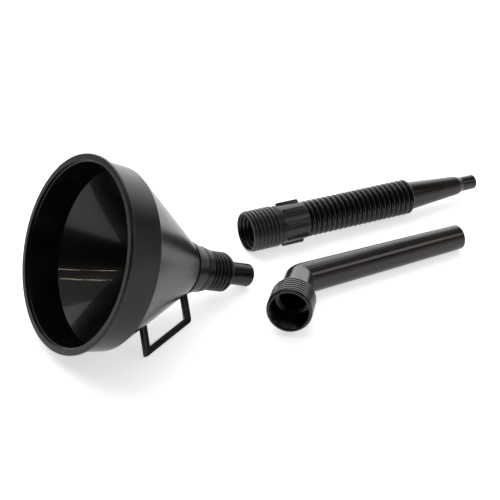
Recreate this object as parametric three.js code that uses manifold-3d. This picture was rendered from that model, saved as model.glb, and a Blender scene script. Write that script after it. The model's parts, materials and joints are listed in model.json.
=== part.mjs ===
// Motor funnel with a strainer, a flexible screw-on spout and a bent screw-on spout,
// lying on the floor as a set. Millimetres and degrees, +Z up, floor at z = 0.
// +X runs along the flexible spout from its socket to its nozzle, and the origin is
// the middle of the set's footprint, on the floor.
// Outlines are lists of [distance along the piece's own axis, radius].
import * as THREE from 'three';
import { mergeVertices } from 'three/addons/utils/BufferGeometryUtils.js';
import Module from 'manifold-3d';

const wasm = await Module();
wasm.setup();

// ---- Screw thread shared by the neck and both spouts ----
const THREAD_PITCH = 4;
const THREAD_CREST_RADIUS = 17.3;
const THREAD_DEPTH = 1.4;
const THREAD_CLEARANCE = 0.35;

// ---- Funnel bowl: lengths along its axis, starting at the mouth ----
const RIM_RADIUS = 80;
const RIM_THICKNESS = 3.4;
const RIM_FACE_WIDTH = 6.4;
const RIM_OVERHANG = 3;
const BAND_TAPER = 2.1;
const BAND_LENGTH = 30.6;
const CONE_LENGTH = 78.2;
const CONE_END_RADIUS = 22.8;
const BOWL_WALL = 2;
const OUTLET_RADIUS = 10;
const OUTLET_WALL = 1.8;
const OUTLET_LENGTH = 27.2;
const EDGE_ROUND = 0.8;

// ---- Threaded neck sleeve over the outlet ----
const COLLAR_STEP = 0.9;
const COLLAR_LIP = 1.2;
const COLLAR_LENGTH = 13.9;
const COLLAR_RISE = 2.4;
const SEAM_BEAD = 0.35;
const SEAM_WIDTH = 0.9;
const NECK_BAND_LENGTH = 8.2;
const NECK_THREAD_LENGTH = 21.5;
const NECK_WALL = 2.2;
const NECK_END_FLANGE = 2.4;

// ---- Handle: a flat bar loop under the cone ----
const HANDLE_REAR_GAP = 0.7;
const HANDLE_LENGTH = 50;
const HANDLE_REACH = 25.8;
const HANDLE_LEAN = 1.7;
const HANDLE_BAR_WIDTH = 5.3;
const HANDLE_THICKNESS = 4;
const HANDLE_CORNER = 3;
const HANDLE_BEVEL = 0.5;

// ---- Strainer seated low in the cone ----
const STRAINER_RADIUS = 26;
const STRAINER_HEIGHT = 4;
const STRAINER_RING_WIDTH = 2.8;
const GAUZE_THICKNESS = 1;
const GAUZE_GRIP = 1.2;

// ---- Screw sockets of the spouts ----
const SOCKET_WALL = 1.6;
const RIDGE_DEPTH = 1.1;
const SOCKET_LIP = 1.2;
const NUT_SOCKET_LENGTH = 29.8;
const BENT_SOCKET_LENGTH = 28.7;

// ---- Coupling nut of the flexible spout ----
const GROOVE_WIDTH = 1.9;
const GROOVE_DEPTH = 1.55;
const GRIP_LENGTH = 28.2;
const GRIP_WALL = 1.45;
const GRIP_TAPER = 0.9;
const LUG_COUNT = 8;
const LUG_RISE = 2.1;
const LUG_LENGTH = 24.5;
const LUG_SETBACK = 2.2;
const LUG_TOP_WIDTH = 1.8;
const LUG_BASE_WIDTH = 4.2;
const LUG_END_SLOPE = 1.4;
const LUG_ROOT_GAP = 0.2;
const SNAP_LIP = 2;
const SNAP_DEPTH = 0.7;

// ---- Hose of the flexible spout: a chain of bellows rings ----
const CUFF_RADIUS = 14;
const CUFF_FLANGE_THICKNESS = 3;
const CUFF_FLANGE_RISE = 2.65;
const CUFF_WALL = 1.5;
const CUFF_STICKOUT = 0.8;
const RING_COUNT = 21;
const RING_PITCH = 5.57;
const RING_DEPTH = 2.4;
const RING_CREST_WIDTH = 2.2;
const RING_VALLEY_RISE = 0.7;
const RING_WALL = 1.4;
const RING_GAP = 1.2;

// ---- Nozzle on the hose's end ----
const NOZZLE_BASE_DROP = 0.7;
const NOZZLE_CONE_LENGTH = 59;
const NOZZLE_CONE_END_RADIUS = 9.4;
const NOZZLE_SHOULDER_LENGTH = 6.1;
const NOZZLE_TIP_RADIUS = 7.3;
const NOZZLE_TIP_LENGTH = 15.8;
const NOZZLE_WALL = 1.6;

// ---- Bent spout ----
const BEND_ANGLE = 51.7;
const BENT_NECK_RADIUS = 13.9;
const BENT_END_RADIUS = 11.5;
const BENT_WALL = 1.7;
const BENT_NECK_REACH = 69.1;
const BENT_TUBE_LENGTH = 172.5;
const BENT_SOCKET_BACK = 3;

// ---- Fits between pieces ----
const SEAT_GAP = 0.3;
const RUNNING_GAP = 0.3;
const SPLIT_GAP = 0.1;

// ---- Where the three items lie, from the middle of the funnel's mouth ----
const FUNNEL_HEADING = 6.6;
const FLEXIBLE_SPOUT_X = 189.9;
const FLEXIBLE_SPOUT_Y = 72.3;
const BENT_ELBOW_X = 196;
const BENT_ELBOW_Y = -17.1;
const BENT_TUBE_HEADING = 1.5;

// ---- Facets round the turned pieces; multiples of four put a corner at the bottom ----
const BOWL_SIDES = 48;
const THREAD_SIDES = 24;
const RING_SIDES = 20;
const TUBE_SIDES = 24;

// ---- Positions worked out from the sizes above ----
const rad = THREE.MathUtils.degToRad;
const threadRootRadius = THREAD_CREST_RADIUS - THREAD_DEPTH;
const socketMajorRadius = THREAD_CREST_RADIUS + THREAD_CLEARANCE;
const socketMinorRadius = threadRootRadius + THREAD_CLEARANCE;
const ridgeCrestRadius = socketMajorRadius + SOCKET_WALL;
const ridgeRootRadius = ridgeCrestRadius - RIDGE_DEPTH;

const mouthRadius = RIM_RADIUS - RIM_FACE_WIDTH;
const bandFrontRadius = RIM_RADIUS - RIM_OVERHANG;
const bandRearRadius = bandFrontRadius - BAND_TAPER;
const coneEnd = BAND_LENGTH + CONE_LENGTH;
const coneSlope = (bandRearRadius - CONE_END_RADIUS) / CONE_LENGTH;
const coneStretch = Math.hypot(1, coneSlope);
const collarEnd = coneEnd + COLLAR_LENGTH;
const threadStart = collarEnd + NECK_BAND_LENGTH;
const neckEnd = threadStart + NECK_THREAD_LENGTH;
const outletEnd = neckEnd + OUTLET_LENGTH;
const outletBore = OUTLET_RADIUS - OUTLET_WALL;
const collarEndRadius = THREAD_CREST_RADIUS + COLLAR_RISE;

const gripStart = NUT_SOCKET_LENGTH + GROOVE_WIDTH;
const nutLength = gripStart + GRIP_LENGTH;
const pocketStart = NUT_SOCKET_LENGTH + SNAP_LIP;
const pocketEnd = pocketStart + CUFF_FLANGE_THICKNESS + 2 * RUNNING_GAP;
const nutBore = CUFF_RADIUS + RUNNING_GAP;
const pocketRadius = Math.max(socketMinorRadius + SNAP_DEPTH, nutBore + CUFF_FLANGE_RISE);
const flangeRadius = pocketRadius - RUNNING_GAP;
const grooveRadius = ridgeCrestRadius - GROOVE_DEPTH;
const gripFrontRadius = pocketRadius + GRIP_WALL;
const gripRearRadius = gripFrontRadius - GRIP_TAPER;
const lugRadius = gripFrontRadius + LUG_RISE;
const cuffEnd = nutLength + CUFF_STICKOUT;
const hoseStart = cuffEnd + RING_GAP / 2;
const hoseEnd = hoseStart + RING_COUNT * RING_PITCH;
const ringValleyRadius = CUFF_RADIUS + RING_VALLEY_RISE;
const ringCrestRadius = ringValleyRadius + RING_DEPTH;
const nozzleBaseRadius = ringValleyRadius - NOZZLE_BASE_DROP;

/** Radius of the cone's outside, at a distance behind the mouth. */
function coneRadius(along, offset = 0) {
  return bandRearRadius - coneSlope * (along - BAND_LENGTH) + offset * coneStretch;
}

/** Distance behind the mouth at which the offset cone has the given radius. */
function coneStation(radius, offset = 0) {
  return BAND_LENGTH + (bandRearRadius + offset * coneStretch - radius) / coneSlope;
}

/** Tilt and height of an axis whose piece rests on two rings, each [along, radius]. */
function restOn([firstAlong, firstRadius], [secondAlong, secondRadius]) {
  const tilt = Math.atan2(firstRadius - secondRadius, secondAlong - firstAlong);
  const height = firstAlong * Math.sin(tilt) + firstRadius * Math.cos(tilt);
  return { tilt, height };
}

// ---- Solids ----

/** One closed body with merged corners and outward faces. */
function closed(source) {
  const bare = source.index ? source.toNonIndexed() : source.clone();
  bare.deleteAttribute('normal');
  bare.deleteAttribute('uv');
  const merged = mergeVertices(bare, 1e-4);
  const corners = merged.index.array;
  const spot = merged.getAttribute('position');
  const point = (i) => new THREE.Vector3().fromBufferAttribute(spot, i);
  const kept = [];
  let volume = 0;
  for (let i = 0; i < corners.length; i += 3) {
    const [a, b, c] = [corners[i], corners[i + 1], corners[i + 2]];
    if (a === b || b === c || c === a) continue;
    kept.push(a, b, c);
    volume += point(a).dot(point(b).cross(point(c)));
  }
  if (volume < 0) kept.reverse();
  merged.setIndex(kept);
  return merged;
}

/** A turned piece about +X, from a closed outline. */
function revolve(outline, sides) {
  const points = [...outline, outline[0]].map(([along, radius]) => new THREE.Vector2(radius, along));
  return closed(new THREE.LatheGeometry(points, sides).rotateZ(-Math.PI / 2));
}

/** A tube-like piece about +X whose closed outline changes with the angle, as a thread's does. */
function loft(outlineAt, sides) {
  const positions = [];
  const corners = [];
  const rows = outlineAt(0).length;
  for (let side = 0; side <= sides; side += 1) {
    const angle = (side / sides) * 2 * Math.PI;
    for (const [along, radius] of outlineAt(angle)) {
      positions.push(along, radius * Math.cos(angle), radius * Math.sin(angle));
    }
  }
  for (let side = 0; side < sides; side += 1) {
    for (let row = 0; row < rows; row += 1) {
      const a = side * rows + row;
      const b = side * rows + ((row + 1) % rows);
      corners.push(a, b, a + rows, b, b + rows, a + rows);
    }
  }
  const geometry = new THREE.BufferGeometry();
  geometry.setAttribute('position', new THREE.Float32BufferAttribute(positions, 3));
  geometry.setIndex(corners);
  return closed(geometry);
}

/** The zigzag of a right-hand thread between two stations, seen at one angle. */
function threadLine(start, end, crest, root, angle) {
  const turn = angle / (2 * Math.PI);
  const line = [];
  const halfTurns = 2 * Math.ceil((end - start) / THREAD_PITCH) + 3;
  for (let step = -2; step < halfTurns; step += 1) {
    const free = start + (step / 2 + turn) * THREAD_PITCH;
    const along = THREE.MathUtils.clamp(free, start, end);
    const phase = (along - start) / THREAD_PITCH - turn;
    const wave = Math.abs(2 * (phase - Math.floor(phase)) - 1);
    line.push([along, root + (crest - root) * wave]);
  }
  return line;
}

/** A geometry as a solid that can be joined and cut. */
function toSolid(geometry) {
  const merged = closed(geometry);
  return new wasm.Manifold(new wasm.Mesh({
    numProp: 3,
    vertProperties: new Float32Array(merged.getAttribute('position').array),
    triVerts: new Uint32Array(merged.index.array),
  }));
}

/** The geometry of a joined or cut solid. */
function toGeometry(solid) {
  const mesh = solid.getMesh();
  const geometry = new THREE.BufferGeometry();
  geometry.setAttribute('position', new THREE.BufferAttribute(mesh.vertProperties, 3));
  geometry.setIndex(new THREE.BufferAttribute(mesh.triVerts, 1));
  return geometry;
}

// ---- Materials: black mouldings that differ in gloss ----

function plastic(colour, roughness) {
  return new THREE.MeshStandardMaterial({ color: colour, roughness, metalness: 0 });
}

const satinPlastic = plastic(0x1b1a1b, 0.42);
const glossPlastic = plastic(0x151414, 0.24);
const hosePlastic = plastic(0x121213, 0.3);
const gauzeWire = new THREE.MeshStandardMaterial({ color: 0xb08d57, roughness: 0.35, metalness: 1 });

function piece(name, geometry, material) {
  const mesh = new THREE.Mesh(geometry, material);
  mesh.name = name;
  return mesh;
}

// ---- Funnel ----

/** Rim and band, down to the band's rear edge. */
function funnelBand() {
  return revolve([
    [0, mouthRadius],
    [0, RIM_RADIUS - EDGE_ROUND],
    [EDGE_ROUND, RIM_RADIUS],
    [RIM_THICKNESS, RIM_RADIUS],
    [RIM_THICKNESS, bandFrontRadius],
    [BAND_LENGTH, bandRearRadius],
    [BAND_LENGTH, coneRadius(BAND_LENGTH, -BOWL_WALL)],
    [EDGE_ROUND, mouthRadius - EDGE_ROUND],
  ], BOWL_SIDES);
}

/** The part of the cone that shows between the band and the collar. */
function funnelCone() {
  const front = BAND_LENGTH + SPLIT_GAP;
  const rear = coneEnd - SPLIT_GAP;
  return revolve([
    [front, coneRadius(front)],
    [rear, coneRadius(rear)],
    [rear, coneRadius(rear, -BOWL_WALL)],
    [front, coneRadius(front, -BOWL_WALL)],
  ], BOWL_SIDES);
}

/** The narrow end of the cone inside the collar, and the outlet tube. */
function funnelOutlet() {
  return revolve([
    [coneEnd, CONE_END_RADIUS],
    [coneStation(OUTLET_RADIUS), OUTLET_RADIUS],
    [outletEnd - EDGE_ROUND, OUTLET_RADIUS],
    [outletEnd, OUTLET_RADIUS - EDGE_ROUND / 2],
    [outletEnd, outletBore],
    [coneStation(outletBore, -BOWL_WALL), outletBore],
    [coneEnd, coneRadius(coneEnd, -BOWL_WALL)],
  ], BOWL_SIDES);
}

function threadedNeck() {
  const hollow = threadRootRadius - NECK_WALL;
  const flangeStart = neckEnd - NECK_END_FLANGE;
  const bore = OUTLET_RADIUS + SEAT_GAP;
  const runout = neckEnd - EDGE_ROUND;
  return loft((angle) => [
    [coneEnd, CONE_END_RADIUS + COLLAR_STEP],
    [coneEnd + COLLAR_LIP, CONE_END_RADIUS],
    [collarEnd - SEAM_WIDTH, collarEndRadius],
    [collarEnd, collarEndRadius + SEAM_BEAD],
    [collarEnd + SEAM_WIDTH, collarEndRadius - SEAM_BEAD],
    ...threadLine(threadStart, runout, THREAD_CREST_RADIUS, threadRootRadius, angle),
    [neckEnd, threadRootRadius - EDGE_ROUND],
    [neckEnd, bore],
    [flangeStart, bore],
    [flangeStart, hollow],
    [coneStation(hollow, SEAT_GAP), hollow],
    [coneEnd, coneRadius(coneEnd, SEAT_GAP)],
  ], THREAD_SIDES);
}

/** Outline of the handle loop in the plane [along, radius], legs ending just off the cone. */
function handleOutline() {
  const barDepth = HANDLE_BAR_WIDTH * coneStretch;
  const rear = coneEnd - HANDLE_REAR_GAP;
  const front = rear - HANDLE_LENGTH;
  const innerReach = HANDLE_REACH - barDepth;
  const footReach = SEAT_GAP * coneStretch;
  const at = (foot, reach) => {
    const along = foot + (HANDLE_LEAN * reach) / HANDLE_REACH;
    return new THREE.Vector2(along, coneRadius(along) + reach);
  };
  return {
    frontFoot: at(front, footReach),
    frontCorner: at(front, HANDLE_REACH),
    rearCorner: at(rear, HANDLE_REACH),
    rearFoot: at(rear, footReach),
    rearInnerFoot: at(rear - HANDLE_BAR_WIDTH, footReach),
    rearInnerCorner: at(rear - HANDLE_BAR_WIDTH, innerReach),
    frontInnerCorner: at(front + HANDLE_BAR_WIDTH, innerReach),
    frontInnerFoot: at(front + HANDLE_BAR_WIDTH, footReach),
  };
}

/** A line to just before a corner, then a curve round it. */
function roundCorner(shape, before, corner, after) {
  const start = corner.clone().lerp(before, HANDLE_CORNER / corner.distanceTo(before));
  const end = corner.clone().lerp(after, HANDLE_CORNER / corner.distanceTo(after));
  shape.lineTo(start.x, start.y);
  shape.quadraticCurveTo(corner.x, corner.y, end.x, end.y);
}

function handleShape() {
  const o = handleOutline();
  const shape = new THREE.Shape().moveTo(o.frontFoot.x, o.frontFoot.y);
  roundCorner(shape, o.frontFoot, o.frontCorner, o.rearCorner);
  roundCorner(shape, o.frontCorner, o.rearCorner, o.rearFoot);
  const rest = [o.rearFoot, o.rearInnerFoot, o.rearInnerCorner, o.frontInnerCorner, o.frontInnerFoot];
  rest.forEach((corner) => shape.lineTo(corner.x, corner.y));
  return shape;
}

function handleGeometry() {
  return closed(new THREE.ExtrudeGeometry(handleShape(), {
    depth: HANDLE_THICKNESS - 2 * HANDLE_BEVEL,
    bevelThickness: HANDLE_BEVEL,
    bevelSize: HANDLE_BEVEL,
    bevelOffset: -HANDLE_BEVEL,
    bevelSegments: 1,
    curveSegments: 3,
  }).translate(0, 0, HANDLE_BEVEL - HANDLE_THICKNESS / 2).rotateX(-Math.PI / 2));
}

/** Roll about the funnel's axis, from straight down, at which the handle just meets the floor. */
function handleRoll(pose) {
  const outline = handleShape().getPoints(3);
  const edge = HANDLE_THICKNESS / 2 - HANDLE_BEVEL;
  const lowest = (roll) => Math.min(...outline.map((corner) => {
    const drop = corner.y * Math.cos(roll) + edge * Math.sin(roll);
    return pose.height - corner.x * Math.sin(pose.tilt) - drop * Math.cos(pose.tilt);
  }));
  let [sunk, clear] = [0, Math.PI / 2];
  while (clear - sunk > 1e-6) {
    const middle = (sunk + clear) / 2;
    if (lowest(middle) < 0) sunk = middle;
    else clear = middle;
  }
  return clear;
}

/** Radius of the cone's inside, less the strainer's clearance. */
function strainerSeatRadius(along) {
  return coneRadius(along, -BOWL_WALL - SEAT_GAP);
}

function strainer() {
  const rear = coneStation(STRAINER_RADIUS, -BOWL_WALL - SEAT_GAP);
  const front = rear - STRAINER_HEIGHT;
  const middle = (front + rear) / 2;
  const bore = STRAINER_RADIUS - STRAINER_RING_WIDTH;
  const groove = bore + GAUZE_GRIP;
  const grooveHalf = GAUZE_THICKNESS / 2 + SEAT_GAP;
  const ring = revolve([
    [front, strainerSeatRadius(front)],
    [rear, STRAINER_RADIUS],
    [rear, bore],
    [middle + grooveHalf, bore],
    [middle + grooveHalf, groove],
    [middle - grooveHalf, groove],
    [middle - grooveHalf, bore],
    [front, bore],
  ], TUBE_SIDES);
  const gauze = revolve([
    [middle - GAUZE_THICKNESS / 2, 0],
    [middle - GAUZE_THICKNESS / 2, groove - SEAT_GAP],
    [middle + GAUZE_THICKNESS / 2, groove - SEAT_GAP],
    [middle + GAUZE_THICKNESS / 2, 0],
  ], TUBE_SIDES);
  return [
    piece('strainer_ring', ring, glossPlastic),
    piece('strainer_gauze', gauze, gauzeWire),
  ];
}

function funnel() {
  const pose = restOn([BAND_LENGTH, bandRearRadius], [outletEnd - EDGE_ROUND, OUTLET_RADIUS]);
  const handle = piece('handle', handleGeometry(), satinPlastic);
  handle.rotation.x = -handleRoll(pose);
  const group = new THREE.Group();
  group.add(
    piece('funnel_band', funnelBand(), satinPlastic),
    piece('funnel_cone', funnelCone(), satinPlastic),
    piece('funnel_outlet', funnelOutlet(), satinPlastic),
    piece('threaded_neck', threadedNeck(), glossPlastic),
    handle,
    ...strainer(),
  );
  group.position.z = pose.height;
  group.rotation.set(0, pose.tilt, rad(FUNNEL_HEADING), 'ZYX');
  return group;
}

// ---- Screw socket shared by the coupling nut and the bent spout ----

/** Outside ridges from the mouth to the socket's end, at one angle. */
function socketOutside(length, angle) {
  return [
    [0, ridgeRootRadius],
    ...threadLine(SOCKET_LIP, length, ridgeCrestRadius, ridgeRootRadius, angle),
  ];
}

/** Station of the last outside ridge on the bottom line, three quarters of a turn round. */
function lowestRidge(length) {
  const bottomTurn = 0.75;
  const turns = Math.floor((length - SOCKET_LIP) / THREAD_PITCH - bottomTurn);
  return SOCKET_LIP + (turns + bottomTurn) * THREAD_PITCH;
}

/** Inside thread from the socket's end back to the mouth; its grooves lie under the ridges. */
function socketInside(length, angle) {
  return [
    ...threadLine(SOCKET_LIP, length, socketMajorRadius, socketMinorRadius, angle).reverse(),
    [0, socketMajorRadius - THREAD_CLEARANCE],
  ];
}

// ---- Flexible spout ----

/** One grip lug as a tapered bar along +X, its foot sunk in the grip. */
function lug(roll) {
  const foot = pocketRadius + LUG_ROOT_GAP;
  const half = LUG_LENGTH / 2;
  const corners = [];
  for (const [radius, width, length] of [
    [foot, LUG_BASE_WIDTH, half],
    [lugRadius, LUG_TOP_WIDTH, half - LUG_END_SLOPE],
  ]) {
    for (const [x, y] of [[-1, -1], [1, -1], [1, 1], [-1, 1]]) {
      corners.push(x * length, (y * width) / 2, radius);
    }
  }
  const faces = [0, 2, 1, 0, 3, 2, 4, 5, 6, 4, 6, 7];
  for (let side = 0; side < 4; side += 1) {
    const next = (side + 1) % 4;
    faces.push(side, next, next + 4, side, next + 4, side + 4);
  }
  const geometry = new THREE.BufferGeometry();
  geometry.setAttribute('position', new THREE.Float32BufferAttribute(corners, 3));
  geometry.setIndex(faces);
  return geometry.translate(gripStart + LUG_SETBACK + half, 0, 0).rotateX(roll);
}

function lugRolls() {
  return Array.from({ length: LUG_COUNT }, (_, i) => ((i + 0.5) * 2 * Math.PI) / LUG_COUNT);
}

function couplingNut() {
  const sleeve = loft((angle) => [
    ...socketOutside(NUT_SOCKET_LENGTH, angle),
    [NUT_SOCKET_LENGTH, grooveRadius],
    [gripStart, grooveRadius],
    [gripStart, gripFrontRadius],
    [nutLength, gripRearRadius],
    [nutLength, nutBore],
    [pocketEnd, nutBore],
    [pocketEnd, pocketRadius],
    [pocketStart, pocketRadius],
    [pocketStart, socketMinorRadius],
    ...socketInside(NUT_SOCKET_LENGTH, angle),
  ], THREAD_SIDES);
  const joined = lugRolls().reduce((solid, roll) => solid.add(toSolid(lug(roll))), toSolid(sleeve));
  return closed(toGeometry(joined));
}

function hoseCuff() {
  const bore = CUFF_RADIUS - CUFF_WALL;
  const flangeStart = pocketStart + RUNNING_GAP;
  const flangeEnd = flangeStart + CUFF_FLANGE_THICKNESS;
  return revolve([
    [flangeStart, bore],
    [flangeStart, flangeRadius],
    [flangeEnd, flangeRadius],
    [flangeEnd, CUFF_RADIUS],
    [cuffEnd, CUFF_RADIUS],
    [cuffEnd, bore],
  ], TUBE_SIDES);
}

/** Middle of a ring, counted from 1, along the spout. */
function ringMiddle(number) {
  return hoseStart + (number - 0.5) * RING_PITCH;
}

/** One bellows ring about its own middle. */
function hoseRing() {
  const half = (RING_PITCH - RING_GAP) / 2;
  const crestHalf = RING_CREST_WIDTH / 2;
  return revolve([
    [-half, ringValleyRadius],
    [-crestHalf, ringCrestRadius],
    [crestHalf, ringCrestRadius],
    [half, ringValleyRadius],
    [half, ringValleyRadius - RING_WALL],
    [0, ringCrestRadius - RING_WALL],
    [-half, ringValleyRadius - RING_WALL],
  ], RING_SIDES);
}

function hoseRings() {
  return Array.from({ length: RING_COUNT }, (_, i) => {
    const number = i + 1;
    const ring = piece(`hose_ring_${String(number).padStart(2, '0')}`, hoseRing(), hosePlastic);
    ring.position.x = ringMiddle(number);
    return ring;
  });
}

function nozzle() {
  const base = hoseEnd - RING_GAP / 2 + SEAT_GAP;
  const coneStop = base + NOZZLE_CONE_LENGTH;
  const tipStart = coneStop + NOZZLE_SHOULDER_LENGTH;
  const tipEnd = tipStart + NOZZLE_TIP_LENGTH;
  return revolve([
    [base, nozzleBaseRadius - EDGE_ROUND],
    [base + EDGE_ROUND, nozzleBaseRadius],
    [coneStop, NOZZLE_CONE_END_RADIUS],
    [tipStart, NOZZLE_TIP_RADIUS],
    [tipEnd - EDGE_ROUND, NOZZLE_TIP_RADIUS],
    [tipEnd, NOZZLE_TIP_RADIUS - EDGE_ROUND / 2],
    [tipEnd, NOZZLE_TIP_RADIUS - NOZZLE_WALL],
    [tipStart, NOZZLE_TIP_RADIUS - NOZZLE_WALL],
    [coneStop, NOZZLE_CONE_END_RADIUS - NOZZLE_WALL],
    [base, nozzleBaseRadius - NOZZLE_WALL],
  ], TUBE_SIDES);
}

/** Lowest reach of the grip: two lugs straddle the bottom line. */
function lugRestRadius() {
  const fromBottom = Math.PI / LUG_COUNT;
  return lugRadius * Math.cos(fromBottom) + (LUG_TOP_WIDTH / 2) * Math.sin(fromBottom);
}

function flexibleSpout() {
  const lugEnd = gripStart + LUG_SETBACK + LUG_LENGTH - LUG_END_SLOPE;
  const lastCrest = ringMiddle(RING_COUNT) + RING_CREST_WIDTH / 2;
  const pose = restOn([lugEnd, lugRestRadius()], [lastCrest, ringCrestRadius]);
  const group = new THREE.Group();
  group.add(
    piece('coupling_nut', couplingNut(), glossPlastic),
    piece('hose_cuff', hoseCuff(), hosePlastic),
    ...hoseRings(),
    piece('nozzle', nozzle(), glossPlastic),
  );
  group.position.set(FLEXIBLE_SPOUT_X, FLEXIBLE_SPOUT_Y, pose.height);
  group.rotation.set(0, pose.tilt, 0, 'ZYX');
  return group;
}

// ---- Bent spout ----

/** Tilts of the bent spout's neck and tube when its socket, elbow and end all touch the floor. */
function bentPose() {
  const lastRidge = lowestRidge(BENT_SOCKET_LENGTH);
  const reach = BENT_NECK_REACH - lastRidge;
  const spread = Math.hypot(ridgeCrestRadius, reach);
  const neckTilt = Math.acos(BENT_NECK_RADIUS / spread) - Math.atan2(reach, ridgeCrestRadius);
  const tubeTilt = Math.asin((BENT_NECK_RADIUS - BENT_END_RADIUS) / BENT_TUBE_LENGTH);
  const across = Math.cos(neckTilt) * Math.cos(tubeTilt);
  const along = Math.sin(neckTilt) * Math.sin(tubeTilt);
  const turn = Math.acos((Math.cos(rad(BEND_ANGLE)) - along) / across);
  return { neckTilt, tubeTilt, turn };
}

function bentSocket() {
  const bore = BENT_NECK_RADIUS - BENT_WALL;
  const back = BENT_SOCKET_LENGTH + BENT_SOCKET_BACK;
  return loft((angle) => [
    ...socketOutside(BENT_SOCKET_LENGTH, angle),
    [back, BENT_NECK_RADIUS],
    [back, bore],
    [BENT_SOCKET_LENGTH + BENT_SOCKET_BACK / 2, bore],
    ...socketInside(BENT_SOCKET_LENGTH, angle),
  ], THREAD_SIDES);
}

/** A straight round bar about +X, from and to the given [along, radius]. */
function bar(from, to) {
  return revolve([[from[0], 0], from, to, [to[0], 0]], TUBE_SIDES);
}

/** The bent run as one solid about the elbow: neck, ball corner and tube, shrunk by an inset. */
function bentRun(pose, inset, overrun) {
  const neckRadius = BENT_NECK_RADIUS - inset;
  const endRadius = BENT_END_RADIUS - inset;
  const neckLength = BENT_NECK_REACH - BENT_SOCKET_LENGTH - BENT_SOCKET_BACK - SEAT_GAP;
  const neck = bar([-neckLength - overrun, neckRadius], [0, neckRadius]);
  const tube = bar([0, neckRadius], [BENT_TUBE_LENGTH + overrun, endRadius]);
  const ball = new THREE.SphereGeometry(neckRadius, TUBE_SIDES, TUBE_SIDES / 2);
  return toSolid(ball)
    .add(toSolid(neck.rotateY(pose.neckTilt).rotateZ(pose.turn)))
    .add(toSolid(tube.rotateY(pose.tubeTilt)));
}

/** A block that fills one side of the elbow's mitre plane, a hair short of it. */
function mitreSide(pose, sign) {
  const size = 2 * (BENT_TUBE_LENGTH + BENT_NECK_REACH);
  const neckWay = new THREE.Vector3(1, 0, 0).applyEuler(new THREE.Euler(0, pose.neckTilt, pose.turn, 'ZYX'));
  const tubeWay = new THREE.Vector3(1, 0, 0).applyEuler(new THREE.Euler(0, pose.tubeTilt, 0, 'ZYX'));
  const normal = neckWay.add(tubeWay).normalize();
  const turn = new THREE.Quaternion().setFromUnitVectors(new THREE.Vector3(1, 0, 0), normal);
  const block = new THREE.BoxGeometry(size, size, size).translate((sign * (size + SEAT_GAP)) / 2, 0, 0);
  return toSolid(block.applyQuaternion(turn));
}

function bentSpout() {
  const pose = bentPose();
  const run = bentRun(pose, 0, 0).subtract(bentRun(pose, BENT_WALL, 1));
  const socket = piece('bent_spout_socket', bentSocket(), glossPlastic);
  const neckWay = new THREE.Euler(0, pose.neckTilt, pose.turn, 'ZYX');
  socket.rotation.copy(neckWay);
  socket.position.set(-BENT_NECK_REACH, 0, 0).applyEuler(neckWay);
  const group = new THREE.Group();
  group.add(
    socket,
    piece('bent_spout_neck', closed(toGeometry(run.intersect(mitreSide(pose, -1)))), glossPlastic),
    piece('bent_spout_tube', closed(toGeometry(run.intersect(mitreSide(pose, 1)))), glossPlastic),
  );
  group.position.set(BENT_ELBOW_X, BENT_ELBOW_Y, BENT_NECK_RADIUS);
  group.rotation.z = rad(BENT_TUBE_HEADING);
  return group;
}

// ---- The set, centred over the origin ----

const set = new THREE.Group();
set.add(funnel(), flexibleSpout(), bentSpout());
const middle = new THREE.Box3().setFromObject(set, true).getCenter(new THREE.Vector3());
set.position.set(-middle.x, -middle.y, 0);

export default set;
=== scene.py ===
"""Looks of the motor funnel set: the funnel, its flexible spout and its bent spout.

Sizes are in millimetres and follow the CAD model's, and angles are in radians. A piece's own
frame has X along its axis, Z as near up as the axis allows, and Y across. An outline is a list
of (x, r, fillet) round that X axis, and a row is (x, r, mark), where mark tells the finish how
rubbed the edge there is, and how much painted edge highlight it gets.
"""
import json
import math

import bmesh
import bpy
import numpy as np
from mathutils import Matrix, Vector


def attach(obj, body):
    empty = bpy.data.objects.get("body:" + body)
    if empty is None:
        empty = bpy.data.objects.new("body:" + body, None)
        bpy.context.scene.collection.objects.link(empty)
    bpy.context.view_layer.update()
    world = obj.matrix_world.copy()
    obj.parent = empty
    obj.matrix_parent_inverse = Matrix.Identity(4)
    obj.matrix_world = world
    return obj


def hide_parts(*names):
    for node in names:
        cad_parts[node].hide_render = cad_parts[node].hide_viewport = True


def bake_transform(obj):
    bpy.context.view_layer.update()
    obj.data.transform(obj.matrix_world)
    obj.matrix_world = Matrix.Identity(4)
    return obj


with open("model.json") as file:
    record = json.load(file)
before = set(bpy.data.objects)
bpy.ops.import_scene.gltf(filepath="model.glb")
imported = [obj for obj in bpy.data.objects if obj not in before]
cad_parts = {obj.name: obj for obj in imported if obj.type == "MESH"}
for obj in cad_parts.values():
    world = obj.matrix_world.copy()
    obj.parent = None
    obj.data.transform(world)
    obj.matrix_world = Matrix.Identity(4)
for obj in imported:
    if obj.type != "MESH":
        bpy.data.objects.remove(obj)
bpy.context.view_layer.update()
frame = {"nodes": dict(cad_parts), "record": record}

MM = 0.001
MOUNTS = {m["name"]: m for m in frame["record"]["mounts"]}

# ---- Thread ----
PITCH = 4.0
CREST = 17.3
ROOT = 15.9
NECK_WALL = 2.2
NECK_FLANGE = 2.4
GAP = 0.3
ROWS_PER_PITCH = 18

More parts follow.
